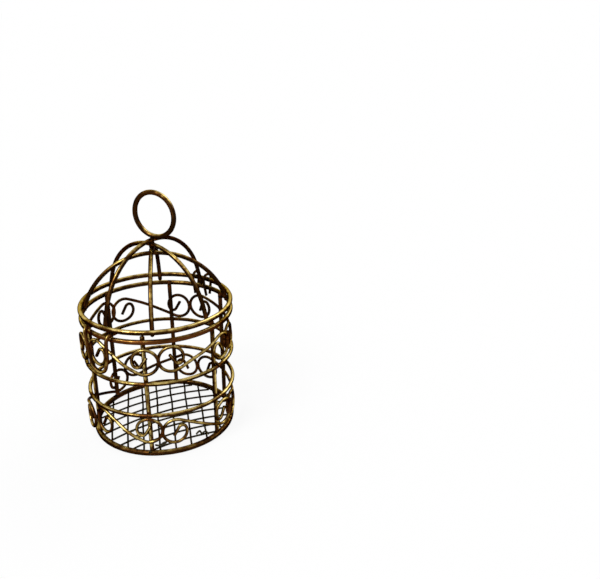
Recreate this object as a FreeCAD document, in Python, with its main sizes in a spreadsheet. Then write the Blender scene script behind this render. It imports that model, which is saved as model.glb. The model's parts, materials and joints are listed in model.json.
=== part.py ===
"""A small round wire cage with a hinged domed lid, used at weddings to hold cards or favours.

Millimetres. The origin is on the table under the middle of the cage, +Z is up, the hinge is at +Y and
the hasp that closes the lid is at -Y. Every wire is a piece of its own, brazed to its neighbours: a thin
film of braze lies between two wires that are joined.
"""
import FreeCAD, Part
import math
import os

import Sketcher
from FreeCAD import Placement, Rotation, Vector

UP = Vector(0, 0, 1)
UPRIGHT_COUNT = 6
SCROLL_COUNT = 5
GRID_WIRES = 8
ARCH_COUNT = 4

# Arcs that make up a scroll: in a curl, in its hook and in the run between two curls
CURL_STEPS = 4
HOOK_STEPS = 2
RUN_STEPS = 3

# Points of a sketch's lines and arcs, and a sketch's own axes
START, END, MIDDLE = 1, 2, 3
AXIS_X, AXIS_Y = -1, -2

# A turn too small to bend, in radians, and a short step along a band
STRAIGHT = 1e-6
SMALL = 0.01

# Spacing of the points on which a scroll's room to itself is measured, and how many wires apart they are
GAP_STEP = 0.4
GAP_SKIP = 4

# Driving dimensions: name, value in millimetres, degrees or shares, what it is
DRIVING = [
    ("ring_radius", 30.0, "middle of the two rims"),
    ("frame_wire", 2.0, "wire of the two rims"),
    ("base_wire", 2.3, "wire of the base ring"),
    ("upright_wire", 1.8, "wire of the uprights"),
    ("hoop_wire", 1.6, "wire of the two hoops round the body"),
    ("scroll_wire", 1.3, "wire of the scrolls"),
    ("arch_wire", 1.75, "wire of the arches of the lid"),
    ("carry_wire", 2.0, "wire of the ring on top"),
    ("hasp_wire", 1.5, "wire of the hasp"),
    ("staple_wire", 1.2, "wire of the hinge staples"),
    ("grid_wire", 0.8, "wire of the floor grid"),
    ("braze_film", 0.05, "braze between two joined wires"),
    ("base_flat", 0.15, "depth of the flat worn under the base ring"),
    ("body_rim_height", 51.0, "middle of the rim of the body above the table"),
    ("lower_band", 18.0, "from the base ring up to the lower hoop, wire middles"),
    ("upper_band", 18.0, "from the upper hoop up to the rim of the body, wire middles"),
    ("upright_turn", 0.0, "turn of the uprights about the axis"),
    ("base_step", 0.5, "how far the base ring stands out beyond the middle of the uprights on it"),
    ("upright_proud", 0.6, "upper end of the uprights above the rim of the body"),
    ("grid_pitch", 6.35, "spacing of the floor grid along its wires"),
    ("grid_turn", 133.0, "turn of the upper layer of the floor grid about the axis"),
    ("grid_skew", 17.0, "how far the two layers of the floor grid are out of square"),
    ("grid_bow", 5.0, "how far the lower layer of the floor grid bows across the base ring"),
    ("curl_radius", 5.4, "outermost turn of a curl"),
    ("curl_inner_radius", 4.3, "innermost turn of a curl"),
    ("curl_turn", 318.0, "how far a curl winds before its hook"),
    ("hook_radius", 1.6, "bend at the inner end of a curl"),
    ("hook_turn", 122.0, "how far the hook turns inward"),
    ("curl_tail", 4.2, "straight end inside a curl"),
    ("pair_half_width", 5.236, "from the middle of a pair of curls to each of the two, round the cage"),
    ("upper_pair_1", -49.0, "angles of the pairs of curls round the upper band"),
    ("upper_pair_2", 13.0, ""),
    ("upper_pair_3", 104.0, ""),
    ("upper_pair_4", 171.0, ""),
    ("upper_pair_5", 250.0, ""),
    ("upper_start_1", 0.6, "lift of the first curl of each scroll in its band: 1 is the top, -1 the bottom"),
    ("upper_start_2", -0.2, ""),
    ("upper_start_3", -0.9, ""),
    ("upper_start_4", -0.1, ""),
    ("upper_start_5", 0.45, ""),
    ("upper_end_1", -0.2, "lift of the last curl of each scroll"),
    ("upper_end_2", -0.9, ""),
    ("upper_end_3", -0.95, ""),
    ("upper_end_4", 0.2, ""),
    ("upper_end_5", 0.6, ""),
    ("lower_pair_1", -50.0, "angles of the pairs of curls round the lower band"),
    ("lower_pair_2", 12.0, ""),
    ("lower_pair_3", 100.0, ""),
    ("lower_pair_4", 165.0, ""),
    ("lower_pair_5", 249.0, ""),
    ("lower_start_1", 0.3, "the same lifts in the lower band"),
    ("lower_start_2", 0.0, ""),
    ("lower_start_3", -0.3, ""),
    ("lower_start_4", -1.1, ""),
    ("lower_start_5", 0.9, ""),
    ("lower_end_1", 1.0, ""),
    ("lower_end_2", -0.3, ""),
    ("lower_end_3", 0.8, ""),
    ("lower_end_4", 0.1, ""),
    ("lower_end_5", 1.5, ""),
    ("arch_rise", 26.2, "top arch above the rim of the lid, wire middles"),
    ("arch_turn_1", 88.5, "turns of the arches about the axis, from the top one down"),
    ("arch_turn_2", -6.0, ""),
    ("arch_turn_3", -52.0, ""),
    ("arch_turn_4", 43.0, ""),
    ("arch_slant", 15.0, "least lean of the foot of an arch from upright"),
    ("arch_stub", 0.7, "end of an arch below the underside of the rim of the lid"),
    ("carry_radius", 8.9, "middle of the ring on top"),
    ("carry_turn", 7.0, "turn of the ring on top about the axis"),
    ("carry_shift", 2.3, "how far the ring on top stands to one side of the top arch"),
    ("staple_angle", 6.0, "from the middle of the hinge to each staple"),
    ("hinge_clearance", 0.7, "room round the rim of the lid inside a staple"),
    ("staple_tail", 2.6, "ends of a staple below the rim of the body, where the curls leave room"),
    ("curl_clearance", 0.3, "least room between the ends of a staple and the curls under them"),
    ("hasp_turn", -4.0, "turn of the hasp about the axis, away from opposite the hinge"),
    ("hasp_half_angle", 12.0, "from the middle of the hasp to where each leg meets the rim"),
    ("hasp_length", 16.4, "from the legs under the rim down to the bottom of the loop"),
    ("hasp_loop_radius", 4.3, "round end of the hasp"),
    ("hasp_bend", 1.6, "bend of each leg where it turns down"),
    ("hasp_stub", 1.3, "end of each leg inside the rim of the lid"),
    ("hasp_clearance", 0.3, "room between the hasp and the rim of the body behind it"),
    ("hasp_room", 0.35, "room between the legs of the hasp and the rim of the body under them"),
]

# Which way each scroll runs, going round from its first pair of curls: +1 rises, -1 falls
UPPER_SENSE = [1, 1, 1, -1, -1]
LOWER_SENSE = [-1, 1, -1, 1, -1]

# Sizes worked out from the driving ones, as expressions
JOINT_FRAME = "(dims.frame_wire / 2 + dims.braze_film)"
UPRIGHT_RADIUS = f"(dims.ring_radius - {JOINT_FRAME} - dims.upright_wire / 2)"
UPRIGHT_FACE = f"({UPRIGHT_RADIUS} + dims.upright_wire / 2 + dims.braze_film)"
BASE_RADIUS = f"({UPRIGHT_RADIUS} + dims.base_step)"
BASE_HEIGHT = "(dims.base_wire / 2 - dims.base_flat)"
GRID_LIFT = "((dims.grid_wire + dims.braze_film) / 2)"
LOWER_HOOP_HEIGHT = f"({BASE_HEIGHT} + dims.lower_band)"
UPPER_HOOP_HEIGHT = "(dims.body_rim_height - dims.upper_band)"
LID_GAP = "(dims.frame_wire + dims.braze_film + dims.hasp_wire + dims.hasp_room)"
LID_HEIGHT = f"(dims.body_rim_height + {LID_GAP})"
STAPLE_CROWN = "(dims.frame_wire / 2 + dims.hinge_clearance + dims.staple_wire / 2)"
LOWER_FLOOR = f"({BASE_HEIGHT} + dims.base_wire / 2)"
UPRIGHT_FOOT = f"({LOWER_FLOOR} + dims.braze_film)"
LOWER_ROOF = f"({LOWER_HOOP_HEIGHT} - dims.hoop_wire / 2)"
UPPER_FLOOR = f"({UPPER_HOOP_HEIGHT} + dims.hoop_wire / 2)"
UPPER_ROOF = "(dims.body_rim_height - dims.frame_wire / 2)"
CURL_HALF = "(dims.curl_radius + dims.scroll_wire / 2)"
UPPER_ROOM = f"(({UPPER_ROOF} - {UPPER_FLOOR}) / 2 - {CURL_HALF})"
STAPLE_ROOM = f"({UPPER_ROOM} * (1 - dims.upper_end_2) - dims.curl_clearance)"

doc = FreeCAD.newDocument("wire_cage")
dims = doc.addObject("Spreadsheet::Sheet", "dims")
reckoner = doc.addObject("App::VarSet", "reckoner")
reckoner.addProperty("App::PropertyFloat", "result")
sub_parts = []


def fill_sheet():
    """Write the driving dimensions into the sheet, one named cell each."""
    for row, (name, amount, meaning) in enumerate(DRIVING, start=1):
        dims.set(f"A{row}", name)
        dims.set(f"B{row}", str(amount))
        dims.set(f"C{row}", meaning)
        dims.setAlias(f"B{row}", name)
    doc.recompute()


def size(name):
    """Value of a named cell."""
    return float(dims.get(name))


def value(expression):
    """Value of an expression of named cells."""
    reckoner.setExpression("result", expression)
    reckoner.recompute()
    return reckoner.result


def bind(thing, **expressions):
    """Tie properties to the sheet; a double underscore in a name stands for a dot."""
    for name, expression in expressions.items():
        thing.setExpression(name.replace("__", "."), expression)


def keep(thing, label):
    """Name a finished piece and list it for writing."""
    thing.Label = label
    sub_parts.append(thing)


def turn_about_axis(thing, expression):
    """Turn a piece about the cage's axis by an angle tied to the sheet."""
    thing.Placement = Placement(Vector(), Rotation(UP, 1))
    bind(thing, Placement__Rotation__Angle=expression)


# Rings

def ring(name, radius, wire, height):
    """A closed ring of round wire, level, at a height."""
    torus = doc.addObject("Part::Torus", name)
    bind(torus, Radius1=radius, Radius2=f"{wire} / 2", Placement__Base__z=height)
    return torus


def make_rings():
    """The base ring with its flat, the two hoops outside the uprights, and the rim of the body."""
    whole = ring("base_whole", BASE_RADIUS, "dims.base_wire", BASE_HEIGHT)
    below = doc.addObject("Part::Box", "below_table")
    reach = f"({BASE_RADIUS} + dims.base_wire)"
    bind(below, Length=f"2 * {reach}", Width=f"2 * {reach}", Height="dims.base_wire",
         Placement__Base__x=f"-{reach}", Placement__Base__y=f"-{reach}",
         Placement__Base__z="-dims.base_wire")
    base = doc.addObject("Part::Cut", "base")
    base.Base = whole
    base.Tool = below
    keep(base, "base_ring")
    hoop_radius = f"({UPRIGHT_FACE} + dims.hoop_wire / 2)"
    for level, height in (("lower", LOWER_HOOP_HEIGHT), ("upper", UPPER_HOOP_HEIGHT)):
        keep(ring(f"{level}_hoop_wire", hoop_radius, "dims.hoop_wire", height), f"{level}_hoop")
    keep(ring("rim_wire", "dims.ring_radius", "dims.frame_wire", "dims.body_rim_height"), "body_rim")


def make_uprights():
    """The uprights, which stand on the base ring, inside the rim of the body, and end a little above it."""
    length = f"(dims.body_rim_height + dims.frame_wire / 2 + dims.upright_proud - {UPRIGHT_FOOT})"
    for number in range(UPRIGHT_COUNT):
        angle = f"(dims.upright_turn + {number * 360 // UPRIGHT_COUNT})"
        post = doc.addObject("Part::Cylinder", f"post_{number + 1}")
        bind(post, Radius="dims.upright_wire / 2", Height=length,
             Placement__Base__x=f"{UPRIGHT_RADIUS} * cos({angle})",
             Placement__Base__y=f"{UPRIGHT_RADIUS} * sin({angle})",
             Placement__Base__z=UPRIGHT_FOOT)
        keep(post, f"upright_{number + 1}")


def straight_grid_wire(name, offset, reach):
    """A thin straight wire across the base ring, offset from its middle."""
    half = f"sqrt({reach}^2 - (abs({offset}) + dims.grid_wire / 2)^2)"
    wire = doc.addObject("Part::Cylinder", name)
    wire.Placement = Placement(Vector(), Rotation(Vector(0, 1, 0), 90))
    bind(wire, Radius="dims.grid_wire / 2", Height=f"2 * {half}",
         Placement__Base__x=f"-{half}", Placement__Base__y=offset,
         Placement__Base__z=f"{BASE_HEIGHT} + {GRID_LIFT}")
    return wire


def bowed_grid_wire(name, offset, reach):
    """A thin bowed wire across the base ring, whose crown is offset from the ring's middle.

    Its ends lie where the inner or the outer side of its bend, whichever comes first, meets the ring.
    """
    bow = f"({reach}^2 / (2 * dims.grid_bow) + dims.grid_bow / 2)"
    middle = f"({offset} - {bow})"
    ends = []
    for sign in ("-", "+"):
        side = f"({bow} {sign} dims.grid_wire / 2)"
        ends.append(f"acos(({reach}^2 - {side}^2 - {middle}^2) / (2 * {side} * {middle}))")
    half_turn = f"min({ends[0]}; {ends[1]})"
    wire = doc.addObject("Part::Torus", name)
    wire.Placement = Placement(Vector(), Rotation(UP, 1))
    bind(wire, Radius1=bow, Radius2="dims.grid_wire / 2", Angle3=f"2 * {half_turn}",
         Placement__Base__y=middle, Placement__Base__z=f"{BASE_HEIGHT} - {GRID_LIFT}",
         Placement__Rotation__Angle=f"90 deg - {half_turn}")
    return wire


def make_floor_grid():
    """Two layers of thin wires across the base ring: a straight one on a bowed one that is out of square."""
    reach = f"({BASE_RADIUS} - dims.base_wire / 2 - dims.braze_film)"
    for label, make_wire, pitch, turn in (
            ("floor_grid_lower", bowed_grid_wire, "dims.grid_pitch * cos(dims.grid_skew)",
             "dims.grid_turn - 90 + dims.grid_skew"),
            ("floor_grid_upper", straight_grid_wire, "dims.grid_pitch", "dims.grid_turn")):
        wires = []
        for number in range(GRID_WIRES):
            offset = f"({pitch} * {number - (GRID_WIRES - 1) / 2})"
            wires.append(make_wire(f"{label}_wire_{number + 1}", offset, reach))
        layer = doc.addObject("Part::Compound", f"{label}_layer")
        layer.Links = wires
        turn_about_axis(layer, turn)
        keep(layer, label)


# Wire bent over a crown in one plane

def origin_plane(body, role):
    """One of a body's own origin planes."""
    return next(plane for plane in body.Origin.OriginFeatures if plane.Role == role)


def sketch_on(body, name, role):
    """An empty sketch on one of a body's own origin planes."""
    sketch = body.newObject("Sketcher::SketchObject", name)
    sketch.AttachmentSupport = (origin_plane(body, role), [""])
    sketch.MapMode = "FlatFace"
    return sketch


def rule(sketch, *parts):
    """Add a constraint without a size to a sketch."""
    sketch.addConstraint(Sketcher.Constraint(*parts))


def dimension(sketch, name, expression, *parts):
    """Add a named dimension to a sketch and tie it to the sheet."""
    given = value(expression)
    if parts[0] == "Angle":
        given = math.radians(given)
    index = sketch.addConstraint(Sketcher.Constraint(*parts, given))
    sketch.renameConstraint(index, name)
    sketch.setExpression(f"Constraints.{name}", expression)


def half_path(body, apex, foot, centre, lean):
    """Half of a bent wire: an arc from the middle of the crown, then a straight leg down to its foot.

    centre and lean, in millimetres and radians, say where the arc's middle lies and how far the leg leans
    inward at first; the constraints that each kind of wire adds settle them.
    """
    path = sketch_on(body, f"{body.Name}_path", "XZ_Plane")
    radius = value(apex) - centre
    bend_end = Vector(radius * math.cos(lean), centre + radius * math.sin(lean), 0)
    drop = bend_end.y - value(foot)
    leg_end = bend_end + Vector(drop * math.tan(lean), -drop, 0)
    circle = Part.Circle(Vector(0, centre, 0), UP, radius)
    crown = path.addGeometry(Part.ArcOfCircle(circle, lean, math.pi / 2), False)
    leg = path.addGeometry(Part.LineSegment(bend_end, leg_end), False)
    rule(path, "PointOnObject", crown, END, AXIS_Y)
    rule(path, "Tangent", crown, START, leg, START)
    dimension(path, "apex", apex, "DistanceY", AXIS_X, START, crown, END)
    dimension(path, "foot", foot, "DistanceY", AXIS_X, START, leg, END)
    return path, crown, leg


def bend_wire(body, path, apex, wire):
    """Carry a round section along the half path and mirror it about the middle of the crown."""
    section = sketch_on(body, f"{body.Name}_section", "YZ_Plane")
    wire_round = section.addGeometry(Part.Circle(Vector(0, value(apex), 0), UP, value(wire) / 2), False)
    rule(section, "PointOnObject", wire_round, MIDDLE, AXIS_Y)
    dimension(section, "height", apex, "DistanceY", AXIS_X, START, wire_round, MIDDLE)
    dimension(section, "wire", f"{wire} / 2", "Radius", wire_round)
    half = body.newObject("PartDesign::AdditivePipe", f"{body.Name}_half")
    half.Profile = section
    half.Spine = (path, ["Edge1", "Edge2"])
    doc.recompute()
    whole = body.newObject("PartDesign::Mirrored", f"{body.Name}_whole")
    whole.Originals = [half]
    whole.MirrorPlane = (origin_plane(body, "YZ_Plane"), [""])
    body.Tip = whole


def make_arches():
    """The arches of the lid: feet inside its rim, crowns stacked one on another over the axis.

    A low arch, whose round crown would reach below the rim, has feet that lean more than the rest.
    """
    foot = "-(dims.frame_wire / 2 + dims.arch_stub)"
    touch = f"({JOINT_FRAME} + dims.arch_wire / 2)"
    for level in range(ARCH_COUNT):
        apex = f"(dims.arch_rise - {level} * (dims.arch_wire + dims.braze_film))"
        round_lean = f"(90 - 2 * atan(({apex} + {touch}) / dims.ring_radius) / 1 deg)"
        slant = f"max(dims.arch_slant; {round_lean})"
        lean = math.radians(value(slant))
        leg_reach = size("ring_radius") * math.cos(lean) - value(touch)
        crown_radius = (leg_reach - value(apex) * math.sin(lean)) / (1 - math.sin(lean))
        body = doc.addObject("PartDesign::Body", f"arch_{level + 1}")
        path, crown, leg = half_path(body, apex, foot, value(apex) - crown_radius, lean)
        rule(path, "PointOnObject", crown, MIDDLE, AXIS_Y)
        rim = path.addGeometry(Part.Point(Vector(size("ring_radius"), 0, 0)), True)
        rule(path, "PointOnObject", rim, START, AXIS_X)
        dimension(path, "rim", "dims.ring_radius", "DistanceX", AXIS_X, START, rim, START)
        dimension(path, "slant", f"{slant} - 90", "Angle", leg)
        dimension(path, "touch", touch, "Distance", rim, START, leg)
        bend_wire(body, path, apex, "dims.arch_wire")
        turn_about_axis(body, f"dims.arch_turn_{level + 1}")
        bind(body, Placement__Base__z=LID_HEIGHT)
        keep(body, f"lid_arch_{level + 1}")


def make_staples():
    """The two hinge staples: each goes loosely over the rim of the lid and grips the rim of the body."""
    foot = f"-({LID_GAP} + dims.frame_wire / 2 + min(dims.staple_tail; {STAPLE_ROOM}))"
    touch = f"({JOINT_FRAME} + dims.staple_wire / 2)"
    lean = -math.asin((value(STAPLE_CROWN) - value(touch)) / value(LID_GAP))
    for side, sign in (("right", "-"), ("left", "+")):
        angle = f"(90 {sign} dims.staple_angle)"
        body = doc.addObject("PartDesign::Body", f"staple_{side}")
        path, crown, leg = half_path(body, STAPLE_CROWN, foot, 0, lean)
        rule(path, "Coincident", crown, MIDDLE, AXIS_X, START)
        rim = path.addGeometry(Part.Point(Vector(0, -value(LID_GAP), 0)), True)
        rule(path, "PointOnObject", rim, START, AXIS_Y)
        dimension(path, "rim", f"-{LID_GAP}", "DistanceY", AXIS_X, START, rim, START)
        dimension(path, "touch", touch, "Distance", rim, START, leg)
        bend_wire(body, path, STAPLE_CROWN, "dims.staple_wire")
        turn_about_axis(body, angle)
        bind(body, Placement__Base__x=f"dims.ring_radius * cos({angle})",
             Placement__Base__y=f"dims.ring_radius * sin({angle})", Placement__Base__z=LID_HEIGHT)
        keep(body, f"hinge_staple_{side}")


# Wire bent in space

def arc_from(start, heading, end):
    """The edge that leaves start along heading and ends at end: an arc, or a line where it is straight."""
    chord = end - start
    turn = heading.getAngle(chord)
    if turn < STRAIGHT:
        return Part.LineSegment(start, end).toShape()
    side = heading - chord * (heading.dot(chord) / chord.dot(chord))
    rise = chord.Length / 2 * math.tan(turn / 2)
    middle = (start + end) / 2 + side.normalize() * rise
    return Part.Arc(start, middle, end).toShape()


def biarc(start, start_heading, end, end_heading):
    """Two arcs that join two points and keep the headings at both."""
    chord = end - start
    along = chord.dot(start_heading + end_heading)
    bend = 2 * (1 - start_heading.dot(end_heading))
    reach = chord.dot(chord) / (along + math.sqrt(along ** 2 + bend * chord.dot(chord)))
    joint = (start + start_heading * reach + end - end_heading * reach) / 2
    joint_heading = (end - end_heading * reach - start - start_heading * reach).normalize()
    return [arc_from(start, start_heading, joint), arc_from(joint, joint_heading, end)]


def sweep_wire(name, edges, start, heading, wire):
    """Round wire along a chain of edges that begins at start, going along heading."""
    path = doc.addObject("Part::Feature", f"{name}_path")
    path.Shape = Part.Wire(edges)
    section = doc.addObject("Part::Circle", f"{name}_section")
    section.Placement = Placement(start, Rotation(UP, heading))
    bind(section, Radius=f"{wire} / 2")
    swept = doc.addObject("Part::Sweep", f"{name}_wire")
    swept.Sections = [section]
    swept.Spine = (path, [f"Edge{number + 1}" for number in range(len(edges))])
    swept.Solid = True
    swept.Frenet = False
    keep(swept, name)


def turned(vector, angle):
    """A flat vector turned anticlockwise."""
    return Rotation(UP, math.degrees(angle)).multVec(vector)


def curl(centre, leave, sense):
    """Points and headings of a curl on the unrolled band, from its straight run in to its tail.

    The run touches the curl at the angle leave; sense is +1 for a curl that winds anticlockwise inward.
    """
    outer = size("curl_radius")
    shrink = outer - size("curl_inner_radius")
    winding = math.radians(size("curl_turn"))
    knots = []
    for step in range(CURL_STEPS + 1):
        share = step / CURL_STEPS
        spoke = turned(Vector(1, 0, 0), leave + sense * winding * share)
        radius = outer - shrink * share ** 2
        heading = turned(spoke, sense * math.pi / 2) * (radius * winding) - spoke * (2 * shrink * share)
        knots.append((centre + spoke * radius, heading.normalize()))
    point, heading = knots[-1]
    hook_arm = turned(heading, -sense * math.pi / 2) * size("hook_radius")
    hook_middle = point - hook_arm
    for step in range(1, HOOK_STEPS + 1):
        angle = sense * math.radians(size("hook_turn")) * step / HOOK_STEPS
        knots.append((hook_middle + turned(hook_arm, angle), turned(heading, angle)))
    point, heading = knots[-1]
    knots.append((point + heading * size("curl_tail"), heading))
    return knots


def scroll_knots(first, last, sense):
    """Points and headings of one scroll on the unrolled band: a curl, a slanting run and a curl.

    first and last are the middles of the two curls. The run crosses from the lower side of the first to the
    upper side of the last where sense is +1, and the other way where it is -1.
    """
    span = last - first
    slope = math.atan2(span.y, span.x) + sense * math.asin(2 * size("curl_radius") / span.Length)
    run = turned(Vector(1, 0, 0), slope)
    leave = slope - sense * math.pi / 2
    inward = curl(last, leave + math.pi, -sense)
    outward = [(point, heading * -1) for point, heading in curl(first, leave, -sense)]
    begin = outward[0][0]
    end = inward[0][0]
    middle = []
    for step in range(1, RUN_STEPS):
        middle.append((begin + (end - begin) * (step / RUN_STEPS), run))
    return outward[::-1] + middle + inward


def make_scroll(name, first, last, sense):
    """One scroll laid round the uprights: its first curl against them, its last curl over the next one.

    first and last hold the angle and the height of the middle of each curl.
    """
    radius = size("ring_radius")
    inner = value(f"{UPRIGHT_FACE} + dims.scroll_wire / 2")
    step_out = size("scroll_wire") + size("braze_film")
    first = Vector(radius * math.radians(first[0]), first[1], 0)
    last = Vector(radius * math.radians(last[0]), last[1], 0)
    leave_u = first.x + size("curl_radius")
    arrive_u = last.x - size("curl_radius")

    def layer(along):
        share = min(max((along - leave_u) / (arrive_u - leave_u), 0), 1)
        return inner + step_out * share ** 2 * (3 - 2 * share)

    def laid(point, heading):
        angle = math.degrees(point.x / radius)
        spoke = Rotation(UP, angle).multVec(Vector(1, 0, 0))
        round_axis = UP.cross(spoke)
        swelling = (layer(point.x + SMALL) - layer(point.x - SMALL)) / (2 * SMALL)
        place = spoke * layer(point.x) + UP * point.y
        along = round_axis * (heading.x * layer(point.x) / radius) + spoke * (heading.x * swelling)
        return place, (along + UP * heading.y).normalize()

    knots = [laid(*knot) for knot in scroll_knots(first, last, sense)]
    edges = []
    for (start, start_heading), (end, end_heading) in zip(knots, knots[1:]):
        edges += biarc(start, start_heading, end, end_heading)
    sweep_wire(name, edges, *knots[0], "dims.scroll_wire")
    return edges


def least_gap(edges, wire):
    """Least room between the turns of one wire, measured on points along it."""
    points = []
    travelled = 0.0
    for edge in edges:
        count = max(2, math.ceil(edge.Length / GAP_STEP))
        for share in range(count):
            points.append((travelled + edge.Length * share / count, edge.valueAt(
                edge.FirstParameter + (edge.LastParameter - edge.FirstParameter) * share / count)))
        travelled += edge.Length
    apart = GAP_SKIP * wire
    return min((a - b).Length for i, (s, a) in enumerate(points)
               for t, b in points[i + 1:] if t - s > apart) - wire


def make_scrolls():
    """A band of scrolls above the base ring and another under the rim of the body."""
    half = math.degrees(size("pair_half_width") / size("ring_radius"))
    gaps = []
    for band, senses, floor, roof in (
            ("lower", LOWER_SENSE, LOWER_FLOOR, LOWER_ROOF),
            ("upper", UPPER_SENSE, UPPER_FLOOR, UPPER_ROOF)):
        middle = (value(roof) + value(floor)) / 2
        room = (value(roof) - value(floor)) / 2 - value(CURL_HALF)
        pairs = [size(f"{band}_pair_{number}") for number in range(1, SCROLL_COUNT + 1)]
        pairs.append(pairs[0] + 360)
        for number, sense in enumerate(senses, 1):
            first = (pairs[number - 1] + half, middle + room * size(f"{band}_start_{number}"))
            last = (pairs[number] - half, middle + room * size(f"{band}_end_{number}"))
            edges = make_scroll(f"{band}_scroll_{number}", first, last, sense)
            gaps.append(least_gap(edges, size("scroll_wire")))
    print(f"least gap of a scroll to itself {min(gaps):.2f} mm")


# Lid

def make_carry_ring():
    """The ring that leans on the side of the top arch, to carry or hang the cage by."""
    loop = doc.addObject("Part::Torus", "carry_wire")
    loop.Placement = Placement(Vector(), Rotation(UP, size("carry_turn")) * Rotation(Vector(1, 0, 0), 90))
    reach = "(dims.carry_radius + (dims.carry_wire + dims.arch_wire) / 2 + dims.braze_film)"
    bind(loop, Radius1="dims.carry_radius", Radius2="dims.carry_wire / 2",
         Placement__Base__x="dims.carry_shift * cos(dims.carry_turn)",
         Placement__Base__y="dims.carry_shift * sin(dims.carry_turn)",
         Placement__Base__z=f"{LID_HEIGHT} + dims.arch_rise + sqrt({reach}^2 - dims.carry_shift^2)")
    keep(loop, "carry_ring")


def make_hasp():
    """The hasp: a hairpin of wire that runs out under the rim of the lid and hangs down outside the body."""
    half_width = size("ring_radius") * math.sin(math.radians(size("hasp_half_angle")))
    rim_y = size("ring_radius") * math.cos(math.radians(size("hasp_half_angle")))
    out = value("dims.ring_radius + dims.frame_wire / 2 + dims.hasp_clearance + dims.hasp_wire / 2")
    top = value(f"{LID_HEIGHT} - {JOINT_FRAME} - dims.hasp_wire / 2")
    end_y = size("frame_wire") / 2 + size("hasp_stub") - rim_y
    loop = size("hasp_loop_radius")
    bend = size("hasp_bend")
    loop_height = top - size("hasp_length") + loop
    drop = top - loop_height
    slant = math.atan2(half_width, drop) - math.asin(loop / math.hypot(half_width, drop))
    leg_length = math.sqrt(half_width ** 2 + drop ** 2 - loop ** 2)
    turn = Rotation(UP, size("hasp_turn"))

    def leg(side):
        down = Vector(-side * math.sin(slant), 0, -math.cos(slant))
        inward = Vector(0, 1, 0)
        corner = Vector(side * half_width, -out, top)
        bend_middle = corner + (inward + down) * bend
        on_bend = bend_middle - (inward + down).normalize() * bend
        marks = [Vector(side * half_width, end_y, top), corner + inward * bend, on_bend,
                 corner + down * bend, corner + down * leg_length]
        return [turn.multVec(mark) for mark in marks]

    left = leg(-1)
    right = leg(1)
    lowest = turn.multVec(Vector(0, -out, loop_height - loop))
    edges = [
        Part.LineSegment(left[0], left[1]).toShape(),
        Part.Arc(left[1], left[2], left[3]).toShape(),
        Part.LineSegment(left[3], left[4]).toShape(),
        Part.Arc(left[4], lowest, right[4]).toShape(),
        Part.LineSegment(right[4], right[3]).toShape(),
        Part.Arc(right[3], right[2], right[1]).toShape(),
        Part.LineSegment(right[1], right[0]).toShape(),
    ]
    sweep_wire("hasp", edges, left[0], turn.multVec(Vector(0, -1, 0)), "dims.hasp_wire")


def make_lid():
    """The rim of the lid, its arches, the ring on top and the hasp."""
    keep(ring("lid_wire", "dims.ring_radius", "dims.frame_wire", LID_HEIGHT), "lid_rim")
    make_arches()
    make_carry_ring()
    make_hasp()


def check():
    """Stop if any object failed or any piece is not a sound solid."""
    doc.recompute()
    for thing in doc.Objects:
        if "Invalid" in thing.State or "Error" in thing.State:
            raise RuntimeError(f"{thing.Name} failed: {thing.State}")
    for piece in sub_parts:
        if piece.Shape.isNull() or not piece.Shape.isValid() or not piece.Shape.Solids:
            raise RuntimeError(f"{piece.Label} is not a sound solid")


def write_parts():
    """Write each piece to a file of its own."""
    os.makedirs("parts", exist_ok=True)
    for piece in sub_parts:
        piece.Shape.exportStep(os.path.join("parts", f"{piece.Label}.step"))
        print(f"{piece.Label}: {len(piece.Shape.Solids)} solid, {piece.Shape.Volume:.2f} cubic mm")


fill_sheet()
make_rings()
make_uprights()
make_floor_grid()
make_scrolls()
make_staples()
make_lid()
check()
write_parts()
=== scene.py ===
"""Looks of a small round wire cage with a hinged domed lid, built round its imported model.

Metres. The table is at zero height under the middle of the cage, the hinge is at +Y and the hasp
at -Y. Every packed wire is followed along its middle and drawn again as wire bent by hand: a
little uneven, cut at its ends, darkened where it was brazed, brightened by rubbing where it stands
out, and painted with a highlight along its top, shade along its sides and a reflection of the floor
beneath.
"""
import heapq
import json
import math
import random
from typing import NamedTuple

import bmesh
import bpy
import numpy as np
from bpy.props import FloatProperty, FloatVectorProperty, IntProperty, PointerProperty
from mathutils import Matrix, Vector, noise
from mathutils.kdtree import KDTree

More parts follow.
